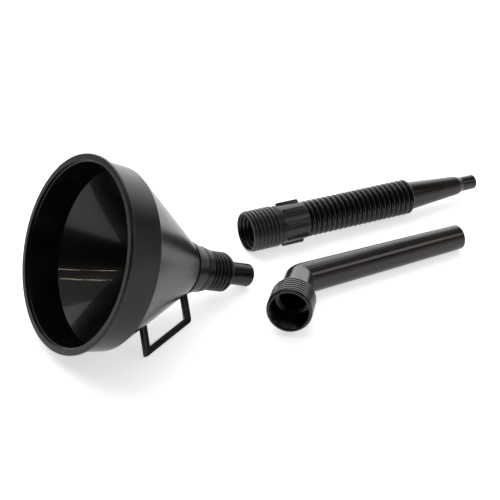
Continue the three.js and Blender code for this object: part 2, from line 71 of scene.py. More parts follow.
# ---- Funnel, along its axis from the mouth ----
RIM = 79.9
RIM_THICKNESS = 3.4
MOUTH = 73.6
MOUTH_STEP = 1.0
MOUTH_STEP_DEPTH = 2.6
BAND_FRONT = 77.0
BAND_REAR = 74.9
BAND_LENGTH = 30.6
CONE_END = 108.8
CONE_END_RADIUS = 22.8
WALL = 2.0
OUTLET = 10.0
OUTLET_BORE = 8.2
COLLAR_END = 122.7
COLLAR_RADIUS = 19.7
THREAD_START = 130.9
NECK_END = 152.4
OUTLET_END = 179.6
SLOPE = (BAND_REAR - CONE_END_RADIUS) / (CONE_END - BAND_LENGTH)
STRETCH = math.hypot(1, SLOPE)
RIM_GATE_STATION = 1.8
RIM_GATE_ANGLE = math.radians(41)
OUTLET_GATE_STATION = OUTLET_END - 3.2
OUTLET_GATE_ANGLE = math.radians(228)

# ---- Handle ----
HANDLE_REAR = 108.1
HANDLE_LENGTH = 50.0
HANDLE_REACH = 25.6
HANDLE_LEAN = 1.7
HANDLE_BAR = 5.3
HANDLE_THICKNESS = 4.0
HANDLE_CORNER = 3.0
HANDLE_INNER_CORNER = 0.6
HANDLE_BEVEL = 0.55
HANDLE_FOOT = 0.9
HANDLE_SHARP = 1.2

# ---- Strainer ----
STRAINER = 26.0
STRAINER_HEIGHT = 4.0
STRAINER_BORE = 23.2
GAUZE_SLOT = 1.2
WIRE_PITCH = 1.6
WIRE_RADIUS = 0.2
WIRE_WAVE = 0.22
WIRE_SIDES = 6

# ---- Spout sockets ----
RIDGE_CREST = 19.25
RIDGE_ROOT = 18.15
SOCKET_MAJOR = 17.65
SOCKET_MINOR = 16.25
SOCKET_LIP = 1.2
NUT_SOCKET = 29.8
BENT_SOCKET = 28.7

# ---- Coupling nut and hose ----
GROOVE = 17.7
GRIP_START = 31.7
NUT_LENGTH = 59.9
GRIP_FRONT = 18.4
GRIP_REAR = 17.5
LUG_COUNT = 8
LUG_RADIUS = 20.5
LUG_START = 33.9
LUG_END = 58.4
LUG_SLOPE = 1.4
POCKET_START = 31.8
POCKET_END = 35.4
POCKET = 16.95
NUT_BORE = 14.3
CUFF = 14.0
CUFF_BORE = 12.5
CUFF_START = 32.1
CUFF_END = 60.7
FLANGE = 16.65
FLANGE_THICKNESS = 3.0
HOSE_START = 61.3
RING_COUNT = 21
RING_PITCH = 5.57
RING_CREST = 17.1
RING_VALLEY = 14.7
RING_WALL = 1.4
HOSE_SIDES = 84
HOSE_ROWS_PER_RING = 26
ROW_CROWDING = 0.35

# ---- Nozzle ----
NOZZLE_START = 177.97
NOZZLE_CONE_END = 236.97
NOZZLE_TIP_START = 243.07
NOZZLE_END = 258.87
NOZZLE_BASE = 14.0
NOZZLE_CONE = 9.4
NOZZLE_TIP = 7.3
NOZZLE_WALL = 1.6

# ---- Bent spout ----
NECK = 13.9
TUBE_END = 11.5
BENT_WALL = 1.7
NECK_REACH = 69.1
TUBE_LENGTH = 172.5
INSIDE_BEND = 9.0
CREASE_BEND = 0.8
BENT_SIDES = 168
ELBOW_STEPS = 16
TUBE_STEPS = 31
TUBE_RIM_LENGTH = 1.6
LEDGE_LENGTH = 1.6


# ---- Frames ----

def axis_frame(mount, outward, radius):
    """A piece's frame, in metres, from the mount on its flat end, which lies radius above the axis."""
    along = Vector(MOUNTS[mount]["axis"]) * outward
    along.normalize()
    up = Vector((0, 0, 1))
    up = (up - along * along.dot(up)).normalized()
    across = up.cross(along)
    centre = Vector(MOUNTS[mount]["pos_m"]) - up * (radius * MM)
    turn = Matrix((along, across, up)).transposed().to_4x4()
    return Matrix.Translation(centre) @ turn


RIM_MOUNT = 76.3
SOCKET_MOUNT = 17.7
TUBE_MOUNT = 10.6
FUNNEL = axis_frame("rim_face", -1, RIM_MOUNT)
FLEXIBLE = axis_frame("nut_face", -1, SOCKET_MOUNT)
SOCKET = axis_frame("bent_socket_face", -1, SOCKET_MOUNT)
BENT_END = axis_frame("bent_spout_end", 1, TUBE_MOUNT)


# ---- Outlines and skins ----

SHARP_ANGLE = math.radians(42)


def soften(outline, steps=4):
    """Rounds the corners of a closed outline of (x, r, fillet); fillet None keeps a point as it is.

    Gives rows of (x, r, edge), with edge 1 on an outside corner, rubbed and lit by a painted edge highlight,
    and -1 in an inside one.
    """
    corners = [np.array(c[:2], float) for c in outline]
    count = len(corners)
    area = sum(corners[i - 1][0] * corners[i][1] - corners[i][0] * corners[i - 1][1] for i in range(count))
    rows = []
    for i, (x, r, fillet) in enumerate(outline):
        if fillet is None:
            rows.append((x, r, 0.0))
            continue
        here = corners[i]
        before = corners[i - 1] - here
        after = corners[(i + 1) % count] - here
        reach_before, reach_after = np.linalg.norm(before), np.linalg.norm(after)
        before, after = before / reach_before, after / reach_after
        half = math.acos(float(np.clip(before @ after, -1, 1))) / 2
        trim = min(fillet / math.tan(half), 0.4 * reach_before, 0.4 * reach_after)
        radius = trim * math.tan(half)
        middle = before + after
        middle = middle / np.linalg.norm(middle)
        centre = here + middle * (radius / math.sin(half))
        outside = (before[0] * after[1] - before[1] * after[0]) * area < 0
        mark = 1.0 if outside else -1.0
        start, end = here + before * trim, here + after * trim
        support = start + before * min(0.3, 0.25 * (reach_before - trim))
        rows.append((*support, 0.0))
        first, last = start - centre, end - centre
        sweep = math.pi - 2 * half
        for step in range(steps + 1):
            t = step / steps
            blended = math.sin((1 - t) * sweep) * first + math.sin(t * sweep) * last
            spot = centre + blended / math.sin(sweep)
            rows.append((*spot, mark * math.sin(math.pi * (0.15 + 0.7 * t))))
        support = end + after * min(0.3, 0.25 * (reach_after - trim))
        rows.append((*support, 0.0))
    return rows


def skin(name, points, marks, place):
    """A closed skin from an array of columns by rows by xyz in millimetres, in the frame place."""
    columns, rows = points.shape[:2]
    grid = np.arange(columns * rows).reshape(columns, rows)
    across = np.roll(grid, -1, axis=0)
    corners = [grid, across, np.roll(across, -1, axis=1), np.roll(grid, -1, axis=1)]
    faces = np.stack(corners, axis=-1).reshape(-1, 4)
    mesh = bpy.data.meshes.new(name)
    mesh.from_pydata((points.reshape(-1, 3) * MM).tolist(), [], faces.tolist())
    mark_edges(mesh, np.ascontiguousarray(marks, dtype=np.float32).ravel())
    return finish_mesh(name, mesh, place)


def mark_edges(mesh, values):
    """How rubbed the finish is at each point, and how much painted edge highlight it gets, from -1 in a
    corner to 1 on an outside edge.
    """
    mark = mesh.attributes.new("edge", "FLOAT", "POINT")
    mark.data.foreach_set("value", values)


def finish_mesh(name, mesh, place):
    """Outward faces, smooth shading with sharp corners kept, and the piece put in its place."""
    bm = bmesh.new()
    bm.from_mesh(mesh)
    bmesh.ops.recalc_face_normals(bm, faces=bm.faces)
    bm.to_mesh(mesh)
    bm.free()
    own = mesh.attributes.new("own", "FLOAT_VECTOR", "POINT")
    own.data.foreach_set("vector", [c for v in mesh.vertices for c in v.co])
    mesh.transform(place)
    mesh.shade_smooth()
    mesh.set_sharp_from_angle(angle=SHARP_ANGLE)
    piece = bpy.data.objects.new(name, mesh)
    bpy.context.scene.collection.objects.link(piece)
    return piece


def turned(name, outline_at, angles, place):
    """A turned piece, whose closed outline may change with the angle."""
    columns = [soften(outline_at(angle)) for angle in angles]
    rows = np.array(columns)
    turn = np.array(angles)[:, None]
    points = np.stack([rows[..., 0], rows[..., 1] * np.cos(turn), rows[..., 1] * np.sin(turn)], axis=-1)
    return skin(name, points, rows[..., 2], place)


def even(count):
    """Angles evenly spaced round a turn."""
    return [2 * math.pi * i / count for i in range(count)]


def smooth(value):
    """A soft step from 0 to 1."""
    value = min(max(value, 0.0), 1.0)
    return value * value * (3 - 2 * value)


def thread_rows(start, end, low, high, angle, shape, fade):
    """Rows along a right-hand thread at one angle; shape gives the height, 0 to 1, over one pitch."""
    turn = angle / (2 * math.pi)
    count = int(round((end - start) / PITCH * ROWS_PER_PITCH))
    rows = []
    for i in range(count + 1):
        along = start + (end - start) * i / count
        phase = (along - start) / PITCH - turn
        ends = smooth((along - start) / fade) * smooth((end - along) / fade)
        rows.append((along, low + (high - low) * shape(phase - math.floor(phase)) * ends, None))
    return rows


def round_ridge(phase):
    """A rounded ridge with a rounded valley, as in a moulded inside thread."""
    return (0.5 + 0.5 * math.cos(2 * math.pi * phase)) ** 0.8


def round_thread(phase):
    """A broad rounded crest with a tighter groove, as on a moulded outside thread."""
    off = abs(phase - 0.5)
    return 1 - math.exp(-((off / 0.17) ** 2))


# ---- Materials ----

# Grey of scuffs, dust specks and rubbed edges; on outside edges it is also a painted edge highlight.
GREY_SCUFF_AND_SHEEN = (0.11, 0.108, 0.104, 1)
COAT_ROUGHNESS = 0.03


def nodes_of(material):
    """The material's empty node tree."""
    material.use_nodes = True
    tree = material.node_tree
    tree.nodes.clear()
    return tree


class Weave:
    """Short calls for building a node tree."""

    def __init__(self, tree):
        self.tree = tree

    def node(self, kind, **settings):
        made = self.tree.nodes.new(kind)
        inputs = settings.pop("inputs", {})
        for key, value in settings.items():
            setattr(made, key, value)
        for key, value in inputs.items():
            if isinstance(value, bpy.types.NodeSocket):
                self.tree.links.new(value, made.inputs[key])
            else:
                made.inputs[key].default_value = value
        return made

    def math(self, operation, a, b=0.0):
        return self.node("ShaderNodeMath", operation=operation, inputs={0: a, 1: b}).outputs[0]

    def noise(self, vector, scale, detail=2.0, rough=0.5):
        return self.node(
            "ShaderNodeTexNoise",
            inputs={"Vector": vector, "Scale": scale, "Detail": detail, "Roughness": rough},
        ).outputs["Fac"]

    def ramp(self, value, low, high, out_low=0.0, out_high=1.0):
        inputs = {"Value": value, "From Min": low, "From Max": high, "To Min": out_low, "To Max": out_high}
        made = self.node("ShaderNodeMapRange", interpolation_type="SMOOTHSTEP", inputs=inputs)
        return made.outputs["Result"]

    def mix(self, fac, a, b):
        made = self.node("ShaderNodeMix", data_type="RGBA")
        for key, value in ((0, fac), (6, a), (7, b)):
            if isinstance(value, bpy.types.NodeSocket):
                self.tree.links.new(value, made.inputs[key])
            else:
                made.inputs[key].default_value = value
        return made.outputs[2]

    def bump(self, height, strength, distance, normal=None):
        inputs = {"Height": height, "Strength": strength, "Distance": distance}
        if normal is not None:
            inputs["Normal"] = normal
        return self.node("ShaderNodeBump", inputs=inputs).outputs["Normal"]


def black_plastic(name, colour, ior, roughness, spread, streaks, peel, edge_rub_and_sheen, coat=0.0):
    """Moulded black plastic: turning marks round the axis, orange peel, scuffs, and rubbed edges, lightened
    also as a painted edge highlight.

    Texture scales are per metre. spread is how far the roughness strays. streaks, peel and the edge
    strength are those of the turning marks, the orange peel and the rubbed edges with painted highlight.
    """
    material = bpy.data.materials.new(name)
    w = Weave(nodes_of(material))
    place = w.node("ShaderNodeAttribute", attribute_name="own").outputs["Vector"]
    parts = w.node("ShaderNodeSeparateXYZ", inputs={0: place})
    across, up = parts.outputs[1], parts.outputs[2]
    radius = w.math("SQRT", w.math("ADD", w.math("MULTIPLY", across, across), w.math("MULTIPLY", up, up)))
    turning = w.node(
        "ShaderNodeCombineXYZ",
        inputs={0: parts.outputs[0], 1: w.math("MULTIPLY", radius, 0.6), 2: w.math("MULTIPLY", up, 0.03)},
    ).outputs[0]
    marks = w.noise(turning, 2600.0, 3.0, 0.65)
    broad = w.noise(turning, 420.0, 2.0, 0.55)
    cloud = w.noise(place, 38.0, 3.0, 0.6)
    grain = w.noise(place, 2100.0, 1.0, 0.5)
    skin_wave = w.noise(place, 260.0, 2.0, 0.5)
    stretched = w.node("ShaderNodeMapping", inputs={"Vector": place, "Scale": (0.12, 1.0, 1.0)}).outputs[0]
    scratch = w.ramp(w.noise(stretched, 900.0, 4.0, 0.7), 0.66, 0.74)
    patch = w.ramp(w.noise(place, 55.0, 2.0, 0.5), 0.5, 0.72)
    scuff = w.math("MULTIPLY", scratch, patch)
    edge = w.node("ShaderNodeAttribute", attribute_name="edge").outputs["Fac"]
    # Outside edges pale towards the grey: partly rubbing, partly a painted edge highlight.
    rubbed_and_sheen = w.math("MULTIPLY", w.ramp(edge, 0.35, 1.0), w.ramp(w.noise(place, 240.0, 3.0, 0.6), 0.38, 0.62))
    rubbed_and_sheen = w.math("MULTIPLY", rubbed_and_sheen, edge_rub_and_sheen)
    speck = w.ramp(
        w.node("ShaderNodeTexVoronoi", inputs={"Vector": place, "Scale": 210.0}).outputs["Distance"],
        0.05, 0.075, 1.0, 0.0,
    )
    speck = w.math("MULTIPLY", speck, w.ramp(w.noise(place, 90.0, 1.0), 0.6, 0.68))
    pale = w.math("MINIMUM", w.math("ADD", w.math("ADD", w.math("MULTIPLY", scuff, 0.35), rubbed_and_sheen), speck), 1.0)
    base = w.mix(w.ramp(cloud, 0.3, 0.7), (*[c * 0.8 for c in colour], 1), (*[c * 1.25 for c in colour], 1))
    base = w.mix(pale, base, GREY_SCUFF_AND_SHEEN)
    rough = w.math("ADD", roughness, w.math("MULTIPLY", w.math("SUBTRACT", cloud, 0.5), spread))
    rough = w.math("ADD", rough, w.math("MULTIPLY", w.math("SUBTRACT", marks, 0.5), spread * 1.2))
    rough = w.math("ADD", rough, w.math("MULTIPLY", pale, 0.2))
    normal = w.bump(skin_wave, peel, 0.00012)
    normal = w.bump(grain, peel * 0.7, 0.00003, normal)
    normal = w.bump(w.math("ADD", marks, w.math("MULTIPLY", broad, 1.5)), streaks, 0.00004, normal)
    normal = w.bump(scuff, 0.25, -0.00004, normal)
    shader = w.node("ShaderNodeBsdfPrincipled", inputs={
        "Base Color": base, "Roughness": rough, "Normal": normal,
    })
    shader.inputs["IOR"].default_value = ior
    shader.inputs["Coat Weight"].default_value = coat
    shader.inputs["Coat Roughness"].default_value = COAT_ROUGHNESS
    out = w.node("ShaderNodeOutputMaterial")
    w.tree.links.new(shader.outputs[0], out.inputs[0])
    return material


def brass_wire(name):
    """Drawn brass wire, dulled in patches."""
    material = bpy.data.materials.new(name)
    w = Weave(nodes_of(material))
    place = w.node("ShaderNodeTexCoord").outputs["Object"]
    tarnish = w.ramp(w.noise(place, 160.0, 4.0, 0.65), 0.35, 0.7)
    base = w.mix(tarnish, (0.52, 0.36, 0.15, 1), (0.2, 0.13, 0.06, 1))
    rough = w.math("ADD", 0.28, w.math("MULTIPLY", tarnish, 0.25))
    normal = w.bump(w.noise(place, 4000.0, 2.0), 0.3, 0.00002)
    shader = w.node("ShaderNodeBsdfPrincipled", inputs={
        "Base Color": base, "Roughness": rough, "Normal": normal,
    })
    shader.inputs["Metallic"].default_value = 1.0
    out = w.node("ShaderNodeOutputMaterial")
    w.tree.links.new(shader.outputs[0], out.inputs[0])
    return material


BOWL = black_plastic("bowl_black", (0.0098, 0.0083, 0.0075), ior=1.33, roughness=0.24, spread=0.10,
                     streaks=0.55, peel=0.14, edge_rub_and_sheen=0.06)
# The bowl's inside: the same black plastic with a darker base colour, painted shade inside the bowl, and a
# glossy coat.
BOWL_INSIDE_SHADE = black_plastic("bowl_inside_painted_shade", (0.0034, 0.0032, 0.0032), ior=1.34, roughness=0.26,
                            spread=0.05, streaks=0.05, peel=0.04, edge_rub_and_sheen=0.04, coat=0.35)
NECK_BLACK = black_plastic("neck_black", (0.0092, 0.0082, 0.0077), ior=1.33, roughness=0.27, spread=0.10,
                           streaks=0.22, peel=0.14, edge_rub_and_sheen=0.06)
NUT_BLACK = black_plastic("nut_black", (0.019, 0.0185, 0.0185), ior=1.40, roughness=0.26, spread=0.10,
                          streaks=0.16, peel=0.16, edge_rub_and_sheen=0.10)
HOSE_BLACK = black_plastic("hose_black", (0.0065, 0.0065, 0.0068), ior=1.38, roughness=0.15, spread=0.06,
                           streaks=0.06, peel=0.10, edge_rub_and_sheen=0.02)
SPOUT_BLACK = black_plastic("spout_black", (0.02, 0.0163, 0.014), ior=1.42, roughness=0.13, spread=0.06,
                            streaks=0.08, peel=0.08, edge_rub_and_sheen=0.06)
# The socket's inside: a darker, neutral copy of the spout's black, painted shade inside the socket, with a
# glossy coat.
SOCKET_INSIDE_SHADE = black_plastic("socket_inside_painted_shade", (0.004, 0.004, 0.004), ior=1.34, roughness=0.3,
                              spread=0.06, streaks=0.06, peel=0.08, edge_rub_and_sheen=0.04, coat=0.5)
BRASS = brass_wire("gauze_brass")


def dress(piece, material, body=None, nodes=()):
    """Gives a piece its finish in a new slot, hides the CAD nodes that it stands for, and ties it to the
    body it rides on.
    """
    piece.data.materials.append(material)
    if nodes:
        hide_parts(*nodes)
    if body:
        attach(piece, body)
    return piece


def paint_inside_shade(piece, material, shape, wall, place):
    """Gives the faces inside a turned wall a darker copy of the finish, painted shade inside the hollow;
    shape(station) is the outside radius.
    """
    piece.data.materials.append(material)
    back = place.inverted()
    for face in piece.data.polygons:
        spot = back @ face.center / MM
        if 1 < spot.x and math.hypot(spot.y, spot.z) < shape(spot.x) - 0.6 * wall:
            face.material_index = 1


# ---- Funnel ----

def cone_radius(along, offset=0.0):
    """Radius of a surface that lies offset outside the cone, at a station."""
    return BAND_REAR - SLOPE * (along - BAND_LENGTH) + offset * STRETCH


def cone_station(radius, offset=0.0):
    """Station at which a surface that lies offset outside the cone has a radius."""
    return BAND_LENGTH + (BAND_REAR + offset * STRETCH - radius) / SLOPE


def funnel_outline(_angle):
    """Rim, band, cone and outlet, and back up the inside to the step in the mouth."""
    return [
        (0, MOUTH + MOUTH_STEP, 0.4),
        (0, RIM, 1.3),
        (RIM_THICKNESS, RIM, 0.6),
        (RIM_THICKNESS, BAND_FRONT, 0.5),
        (BAND_LENGTH, BAND_REAR, 0.8),
        (CONE_END, CONE_END_RADIUS, None),
        (cone_station(OUTLET), OUTLET, 1.2),
        (OUTLET_END, OUTLET, 1.4),
        (OUTLET_END, OUTLET_BORE, 0.5),
        (cone_station(OUTLET_BORE, -WALL), OUTLET_BORE, 2.0),
        (BAND_LENGTH, cone_radius(BAND_LENGTH, -WALL), 0.7),
        (MOUTH_STEP_DEPTH, MOUTH, 0.3),
        (MOUTH_STEP_DEPTH, MOUTH + MOUTH_STEP, 0.2),
    ]


def neck_outline(angle):
    """Seam bead, collar with a second bead, and male thread; inside, a flange round the outlet."""
    bore = OUTLET + GAP
    hollow = ROOT - NECK_WALL
    return [
        (CONE_END, CONE_END_RADIUS + 0.7, 0.35),
        (CONE_END + 1.3, CONE_END_RADIUS + 0.55, 0.25),
        (CONE_END + 1.7, CONE_END_RADIUS - 0.15, 0.2),
        (COLLAR_END - 1.0, COLLAR_RADIUS, 0.2),
        (COLLAR_END - 0.45, COLLAR_RADIUS + 0.35, 0.15),
        (COLLAR_END + 0.45, COLLAR_RADIUS + 0.3, 0.15),
        (COLLAR_END + 0.8, COLLAR_RADIUS - 0.45, 0.2),
        (THREAD_START - 1.6, COLLAR_RADIUS - 1.1, 0.6),
        (THREAD_START - 0.4, ROOT + 0.4, 0.4),
        *thread_rows(THREAD_START, NECK_END - 1.0, ROOT - 0.2, CREST, angle, round_thread, fade=1.2),
        (NECK_END, ROOT - 0.4, 0.6),
        (NECK_END, bore, 0.3),
        (NECK_END - NECK_FLANGE, bore, 0.2),
        (NECK_END - NECK_FLANGE, hollow, 0.2),
        (cone_station(hollow, GAP), hollow, 0.2),
        (CONE_END, cone_radius(CONE_END, GAP), 0.05),
    ]


def handle_roll():
    """Angle of the handle from straight down, read off the CAD solid."""
    node = frame["nodes"]["handle"]
    back = FUNNEL.inverted()
    spots = [back @ v.co for v in node.data.vertices]
    far = sorted(spots, key=lambda p: -math.hypot(p.y, p.z))[: max(4, len(spots) // 4)]
    middle = sum(far, Vector()) / len(far)
    return math.atan2(-middle.y, -middle.z)


def steady(bm):
    """Points, edges and faces in one order, since a bevel's own order changes from run to run."""
    points = sorted(bm.verts, key=lambda v: tuple(v.co))
    number = {v: i for i, v in enumerate(points)}
    faces = []
    for face in bm.faces:
        corners = [number[v] for v in face.verts]
        first = corners.index(min(corners))
        faces.append(corners[first:] + corners[:first])
    return [tuple(v.co) for v in points], [], sorted(faces)


def handle():
    """The flat bar loop: rounded outside corners, sharp inside ones, feet sunk in the cone's wall."""
    depth = HANDLE_BAR * STRETCH
    front = HANDLE_REAR - HANDLE_LENGTH
    foot = -HANDLE_FOOT * STRETCH

    def at(station, reach):
        along = station + HANDLE_LEAN * reach / HANDLE_REACH
        return Vector((along, cone_radius(along) + reach))

    corners = [
        (at(front, foot), 0),
        (at(front, HANDLE_REACH), HANDLE_CORNER),
        (at(HANDLE_REAR, HANDLE_REACH), HANDLE_CORNER),
        (at(HANDLE_REAR, foot), 0),
        (at(HANDLE_REAR - HANDLE_BAR, foot), 0),
        (at(HANDLE_REAR - HANDLE_BAR, HANDLE_REACH - depth), HANDLE_INNER_CORNER),
        (at(front + HANDLE_BAR, HANDLE_REACH - depth), HANDLE_INNER_CORNER),
        (at(front + HANDLE_BAR, foot), 0),
    ]
    outline = []
    for i, (corner, radius) in enumerate(corners):
        if not radius:
            outline.append(corner)
            continue
        start = corner + (corners[i - 1][0] - corner).normalized() * radius
        end = corner + (corners[(i + 1) % len(corners)][0] - corner).normalized() * radius
        steps = 8 if radius == HANDLE_CORNER else 3
        for step in range(steps + 1):
            t = step / steps
            outline.append(start * (1 - t) ** 2 + corner * 2 * t * (1 - t) + end * t * t)
    bm = bmesh.new()
    half = HANDLE_THICKNESS / 2
    ring = [bm.verts.new((p.x * MM, -half * MM, -p.y * MM)) for p in outline]
    face = bm.faces.new(ring)
    made = bmesh.ops.extrude_face_region(bm, geom=[face])
    top = [v for v in made["geom"] if isinstance(v, bmesh.types.BMVert)]
    bmesh.ops.translate(bm, verts=top, vec=(0, HANDLE_THICKNESS * MM, 0))
    bm.normal_update()
    sharp = [e for e in bm.edges if e.calc_face_angle(0) > HANDLE_SHARP]
    rims = [e for e in sharp if abs(e.verts[0].co.y - e.verts[1].co.y) < 1e-6]
    bmesh.ops.bevel(bm, geom=rims, offset=HANDLE_BEVEL * MM, segments=4, profile=0.5, affect="EDGES",
                    clamp_overlap=True)
    bmesh.ops.recalc_face_normals(bm, faces=bm.faces)
    big = [f for f in bm.faces if len(f.verts) > 4]
    bmesh.ops.triangulate(bm, faces=big)
    mesh = bpy.data.meshes.new("handle_loop")
    mesh.from_pydata(*steady(bm))
    bm.free()
    flat = (half - HANDLE_BEVEL) * MM
    # The bevelled rims are marked as edges: rubbed, and lightened as a painted edge highlight.
    mark_edges(mesh, [0.8 * smooth((abs(v.co.y) - 0.8 * flat) / (0.4 * MM)) for v in mesh.vertices])
    return finish_mesh("handle_loop", mesh, FUNNEL @ Matrix.Rotation(-handle_roll(), 4, "X"))


def nub(name, place, width, height):
    """A snipped moulding gate: a small stub that narrows to a torn, tilted end."""
    sides = 14
    rows = [(-0.4, 1.0), (0.0, 1.0), (0.35, 0.82), (0.8, 0.7), (1.0, 0.58), (1.03, 0.3), (1.0, 0.04)]
    points = np.zeros((sides, len(rows), 3))
    for i in range(sides):
        a = 2 * math.pi * i / sides
        for j, (up, wide) in enumerate(rows):
            torn = 0.12 * math.sin(3 * a + 1.0) + 0.18 * math.cos(a)
            lift = height * (up + (torn * wide if up > 0.7 else 0.0))
            points[i, j] = (width * wide * math.cos(a), 0.7 * width * wide * math.sin(a), lift)
    mesh = bpy.data.meshes.new(name)
    bm = bmesh.new()
    verts = [[bm.verts.new(points[i, j] * MM) for j in range(len(rows))] for i in range(sides)]
    for i in range(sides):
        k = (i + 1) % sides
        for j in range(len(rows) - 1):
            bm.faces.new((verts[i][j], verts[k][j], verts[k][j + 1], verts[i][j + 1]))
    bm.faces.new([verts[i][0] for i in range(sides)])
    bm.faces.new([verts[i][-1] for i in range(sides)])
    bm.to_mesh(mesh)
    bm.free()
    # The whole stub is marked as an edge: rubbed, and lightened as a painted highlight.
    mark_edges(mesh, [0.7] * len(mesh.vertices))
    return finish_mesh(name, mesh, place)


def on_side(place, along, radius, angle):
    """A frame on a turned piece's side, its Z pointing straight out."""
    turn = Matrix.Rotation(angle - math.pi / 2, 4, "X")
    return place @ turn @ Matrix.Translation(Vector((along, 0, radius)) * MM)


STRAINER_REAR = cone_station(STRAINER, -WALL - GAP)


def strainer_outline(_angle):
    """The frame, a ring that sits in the cone, with a slot that holds the gauze."""
    front = STRAINER_REAR - STRAINER_HEIGHT
    rear, middle = STRAINER_REAR, STRAINER_REAR - STRAINER_HEIGHT / 2
    half_slot = 0.8
    return [
        (front, cone_radius(front, -WALL - GAP), 0.4),
        (rear, STRAINER, 0.4),
        (rear, STRAINER_BORE, 0.6),
        (middle + half_slot, STRAINER_BORE, 0.1),
        (middle + half_slot, STRAINER_BORE + GAUZE_SLOT, 0.1),
        (middle - half_slot, STRAINER_BORE + GAUZE_SLOT, 0.1),
        (middle - half_slot, STRAINER_BORE, 0.1),
        (front, STRAINER_BORE, 0.6),
    ]


def wire_ring(bm, way, run, offset, lift):
    """The section of one wire at a point of its run; way tells which of the two ways it runs."""
    ring = []
    for side in even(WIRE_SIDES):
        across = offset + WIRE_RADIUS * math.cos(side)
        x = lift + WIRE_RADIUS * math.sin(side)
        spot = (x, run, across) if way else (x, across, run)
        ring.append(bm.verts.new(Vector(spot) * MM))
    return ring


def wire(bm, way, line, reach, middle):
    """One gauze wire, which passes over and under the ones that cross it."""
    steps = max(8, int(2 * reach / WIRE_PITCH * 4))
    last = None
    for i in range(steps + 1):
        run = -reach + 2 * reach * i / steps
        wave = math.cos(math.pi * run / WIRE_PITCH) * (1 if (line + way) % 2 else -1)
        ring = wire_ring(bm, way, run, line * WIRE_PITCH, middle + WIRE_WAVE * wave)
        if last is None:
            bm.faces.new(ring)
        else:
            for s in range(WIRE_SIDES):
                n = (s + 1) % WIRE_SIDES
                bm.faces.new((last[s], last[n], ring[n], ring[s]))
        last = ring
    bm.faces.new(last)


def gauze():
    """Plain-woven wire, cut round."""
    radius = STRAINER_BORE + 0.85
    count = int(radius // WIRE_PITCH)
    bm = bmesh.new()
    for way in (0, 1):
        for line in range(-count, count + 1):
            reach = math.sqrt(radius ** 2 - (line * WIRE_PITCH) ** 2)
            wire(bm, way, line, reach, STRAINER_REAR - STRAINER_HEIGHT / 2)
    mesh = bpy.data.meshes.new("strainer_weave")
    bm.to_mesh(mesh)
    bm.free()
    return finish_mesh("strainer_weave", mesh, FUNNEL)


def bowl_radius(along):
    """Outside radius of the bowl and outlet at a station, less the rim's lip."""
    if along < BAND_LENGTH:
        return BAND_FRONT + (BAND_REAR - BAND_FRONT) * along / BAND_LENGTH
    return max(cone_radius(along), OUTLET)


bowl = dress(turned("funnel_bowl", funnel_outline, even(180), FUNNEL), BOWL, "funnel",
             ("funnel_band", "funnel_cone", "funnel_outlet"))
# Painted shade: the faces inside the bowl get the darker copy of its black.
paint_inside_shade(bowl, BOWL_INSIDE_SHADE, bowl_radius, WALL, FUNNEL)
dress(turned("neck_sleeve", neck_outline, even(120), FUNNEL), NECK_BLACK, "funnel",
      ("threaded_neck",))
dress(handle(), BOWL, "funnel", ("handle",))
dress(turned("strainer_frame", strainer_outline, even(96), FUNNEL), NECK_BLACK,
      "strainer", ("strainer_ring",))
dress(gauze(), BRASS, "strainer", ("strainer_gauze",))
rim_gate = on_side(FUNNEL, RIM_GATE_STATION, RIM - 0.15, RIM_GATE_ANGLE)
outlet_gate = on_side(FUNNEL, OUTLET_GATE_STATION, OUTLET - 0.1, OUTLET_GATE_ANGLE)
dress(nub("rim_gate", rim_gate, 1.5, 0.9), BOWL, "funnel")
dress(nub("outlet_gate", outlet_gate, 1.4, 0.8), BOWL, "funnel")


# ---- Flexible spout ----

def lug_height(along, angle):
    """How far a grip lug stands at a point, from 0 to 1."""
    step = 2 * math.pi / LUG_COUNT
    off = abs((angle / step) % 1 - 0.5) * step * LUG_RADIUS
    across = 1 - smooth((off - 0.55) / 1.5)
    ends = smooth((along - LUG_START) / LUG_SLOPE) * smooth((LUG_END - along) / LUG_SLOPE)
    return across * ends


def grip_rows(angle):
    """Rows along the grip: a slight crown between the lugs, and the lugs."""
    stations = [GRIP_START + 0.55, GRIP_START + 1.1, GRIP_START + 1.7]
    stations += [LUG_START + LUG_SLOPE * i / 8 for i in range(9)]
    level = LUG_END - LUG_START - 2 * LUG_SLOPE
    stations += [LUG_START + LUG_SLOPE + level * i / 10 for i in range(1, 10)]
    stations += [LUG_END - LUG_SLOPE * (1 - i / 8) for i in range(9)]
    rows = []
    for along in stations:
        t = (along - GRIP_START) / (NUT_LENGTH - GRIP_START)
        grip = GRIP_FRONT + (GRIP_REAR - GRIP_FRONT) * t
        rows.append((along, grip + (LUG_RADIUS - grip) * lug_height(along, angle), None))
    return rows


def nut_outline(angle):
    """Out along the ridged socket and the grip, and back through the pocket and the thread."""
    ridges = thread_rows(SOCKET_LIP, NUT_SOCKET - 0.6, RIDGE_ROOT - 0.1, RIDGE_CREST, angle,
                         round_thread, fade=0.8)
    inside = thread_rows(SOCKET_LIP, NUT_SOCKET, SOCKET_MINOR + 0.1, SOCKET_MAJOR, angle,
                         round_ridge, fade=1.2)
    return [
        (0, RIDGE_ROOT, 0.35),
        (SOCKET_LIP * 0.5, RIDGE_ROOT + 0.15, None),
        *ridges,
        (NUT_SOCKET - 0.2, RIDGE_ROOT + 0.4, None),
        (NUT_SOCKET, GROOVE, 0.2),
        (GRIP_START, GROOVE, 0.2),
        (GRIP_START, GRIP_FRONT - 0.1, 0.4),
        *grip_rows(angle),
        (NUT_LENGTH, GRIP_REAR, 0.6),
        (NUT_LENGTH, NUT_BORE, 0.3),
        (POCKET_END, NUT_BORE, 0.1),
        (POCKET_END, POCKET, 0.1),
        (POCKET_START, POCKET, 0.1),
        (POCKET_START, SOCKET_MINOR, 0.3),
        *reversed(inside),
        (0, SOCKET_MINOR + 0.5, 0.4),
    ]


